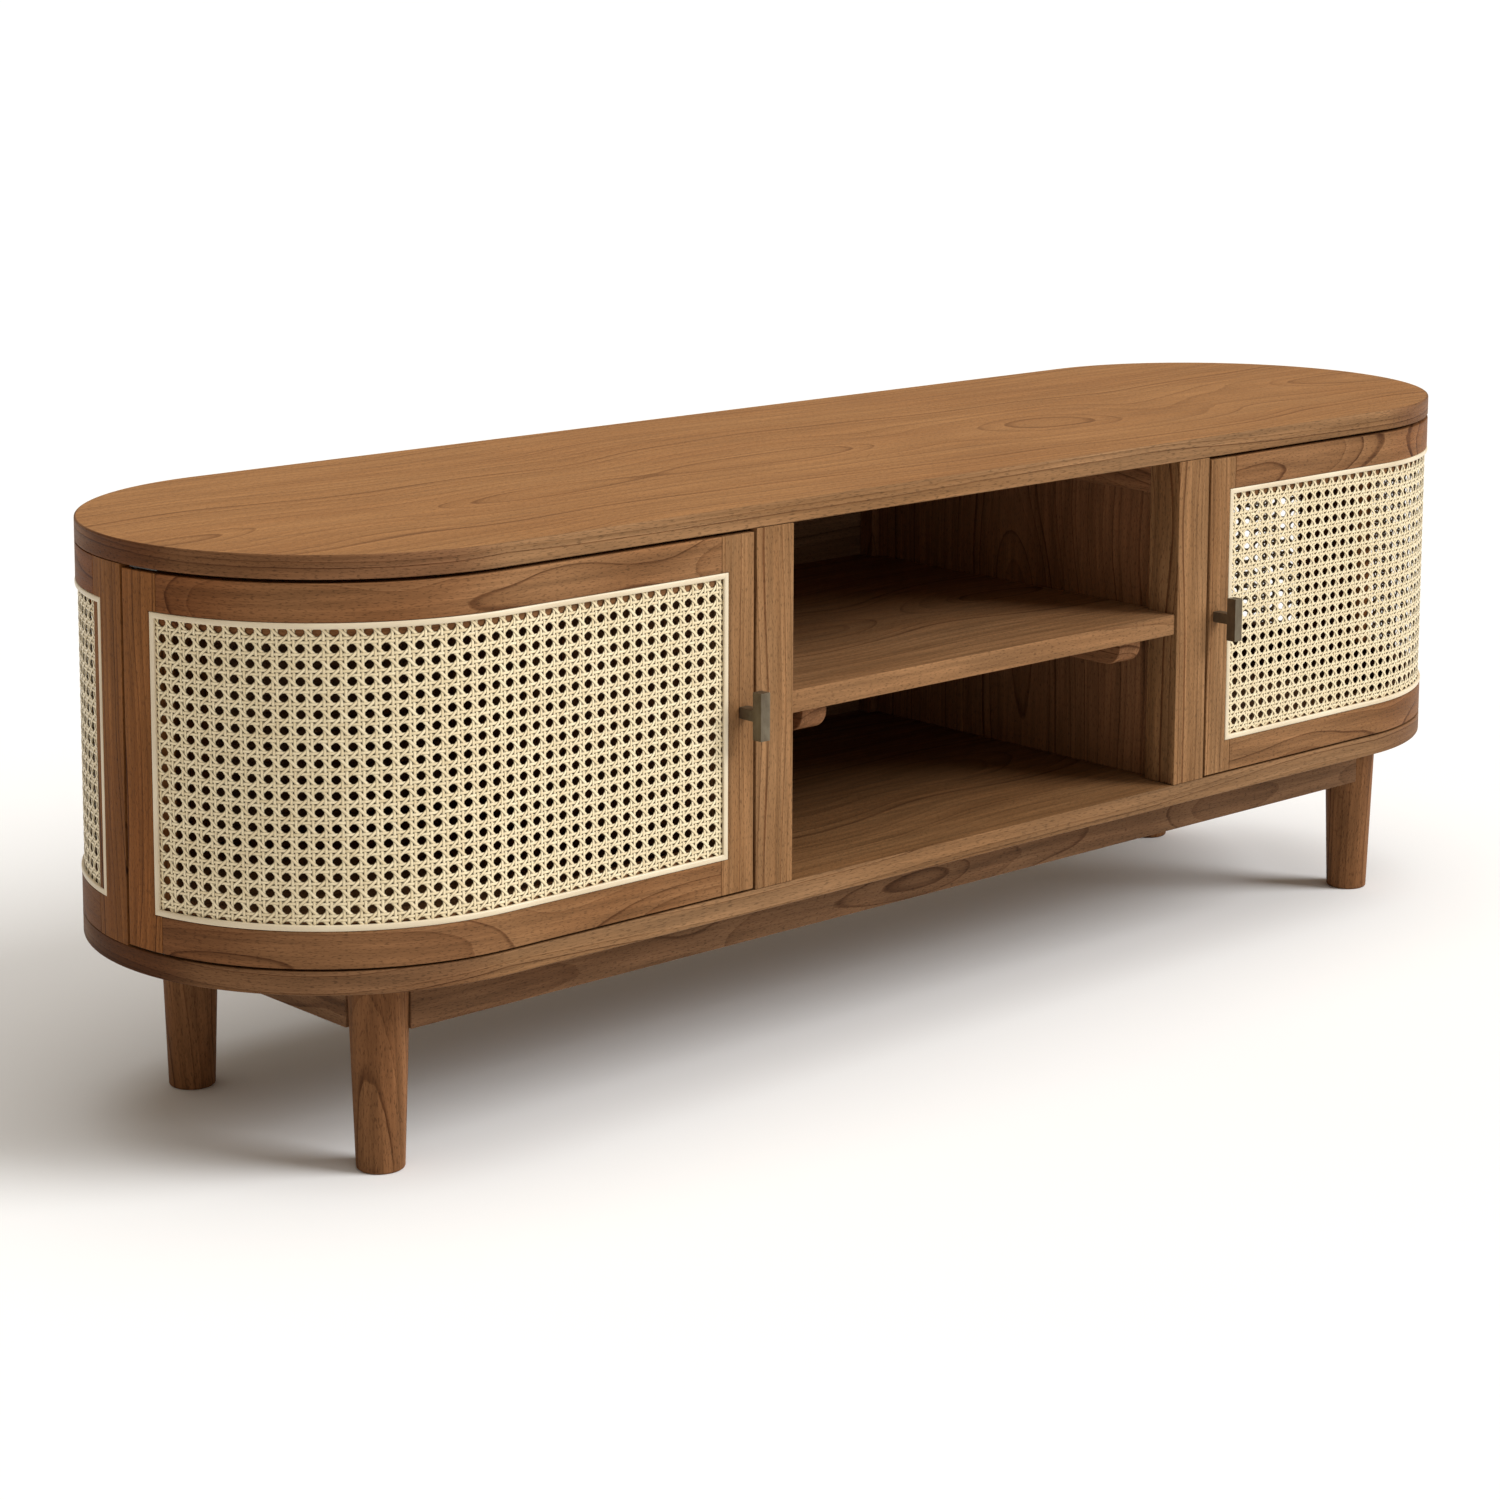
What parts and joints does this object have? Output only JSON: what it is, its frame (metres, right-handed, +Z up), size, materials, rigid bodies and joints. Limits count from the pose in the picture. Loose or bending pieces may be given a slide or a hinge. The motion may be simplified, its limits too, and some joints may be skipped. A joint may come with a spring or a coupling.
{
  "type": "tv stand with doors",
  "caption": "Low wooden TV stand with half-round ends, curved cane doors, an open shelf bay in the middle and tapered round legs.",
  "frame": {"origin": "on the floor, under the middle of the whole stand with its handles", "axes": "+X along the length to the right-hand end, -Y out of the front where the doors open, +Z up"},
  "size_m": [1.6, 0.478, 0.53],
  "materials": {
    "board_wood": "satin lacquer on warm light brown veneer, lengthwise grain",
    "frame_wood": "satin lacquer on warm brown wood, grain along each piece",
    "inner_wood": "matt brown veneer",
    "leg_wood": "satin lacquer on darker brown wood",
    "cane": "natural open-weave rattan cane webbing",
    "bead": "pale satin rattan bead",
    "aged_brass": "dark antique brass, brushed",
    "steel": "satin blackened steel",
    "catch_plastic": "matt brown moulded"
  },
  "bodies": {
    "cabinet": {"top_board": "board_wood", "bottom_board": "board_wood", "back_panel": "inner_wood", "shelf": "board_wood", "front_post_left": "frame_wood", "rear_post_left": "inner_wood", "divider_panel_left": "inner_wood", "divider_top_rail_left": "inner_wood", "shelf_batten_left": "inner_wood", "end_panel_left_front_stile": "frame_wood", "end_panel_left_rear_stile": "frame_wood", "end_panel_left_top_rail": "frame_wood", "end_panel_left_bottom_rail": "frame_wood", "end_panel_left_cane": "cane", "end_panel_left_bead": "bead", "hinge_pin_lower_left": "steel", "hinge_pin_upper_left": "steel", "catch_left": "catch_plastic", "leg_front_left": "leg_wood", "leg_rear_left": "leg_wood", "apron_left": "leg_wood", "front_post_right": "frame_wood", "rear_post_right": "inner_wood", "divider_panel_right": "inner_wood", "divider_top_rail_right": "inner_wood", "shelf_batten_right": "inner_wood", "end_panel_right_front_stile": "frame_wood", "end_panel_right_rear_stile": "frame_wood", "end_panel_right_top_rail": "frame_wood", "end_panel_right_bottom_rail": "frame_wood", "end_panel_right_cane": "cane", "end_panel_right_bead": "bead", "hinge_pin_lower_right": "steel", "hinge_pin_upper_right": "steel", "catch_right": "catch_plastic", "leg_front_right": "leg_wood", "leg_rear_right": "leg_wood", "apron_right": "leg_wood", "apron_front": "leg_wood", "apron_rear": "leg_wood"},
    "door_left": {"door_left_hinge_stile": "frame_wood", "door_left_handle_stile": "frame_wood", "door_left_top_rail": "frame_wood", "door_left_bottom_rail": "frame_wood", "door_left_cane": "cane", "door_left_bead": "bead", "hinge_bush_lower_left": "steel", "hinge_bush_upper_left": "steel", "handle_left": "aged_brass", "strike_plate_left": "steel"},
    "door_right": {"door_right_hinge_stile": "frame_wood", "door_right_handle_stile": "frame_wood", "door_right_top_rail": "frame_wood", "door_right_bottom_rail": "frame_wood", "door_right_cane": "cane", "door_right_bead": "bead", "hinge_bush_lower_right": "steel", "hinge_bush_upper_right": "steel", "handle_right": "aged_brass", "strike_plate_right": "steel"}
  },
  "joints": [
    {"name": "door_left_hinge", "type": "hinge", "parent": "cabinet", "child": "door_left", "pos_m": [-0.79269, -0.00482, 0.3495], "axis": [0, 0, -1], "range_deg": [0, 110]},
    {"name": "door_right_hinge", "type": "hinge", "parent": "cabinet", "child": "door_right", "pos_m": [0.79269, -0.00482, 0.3495], "axis": [0, 0, 1], "range_deg": [0, 110]}
  ]
}
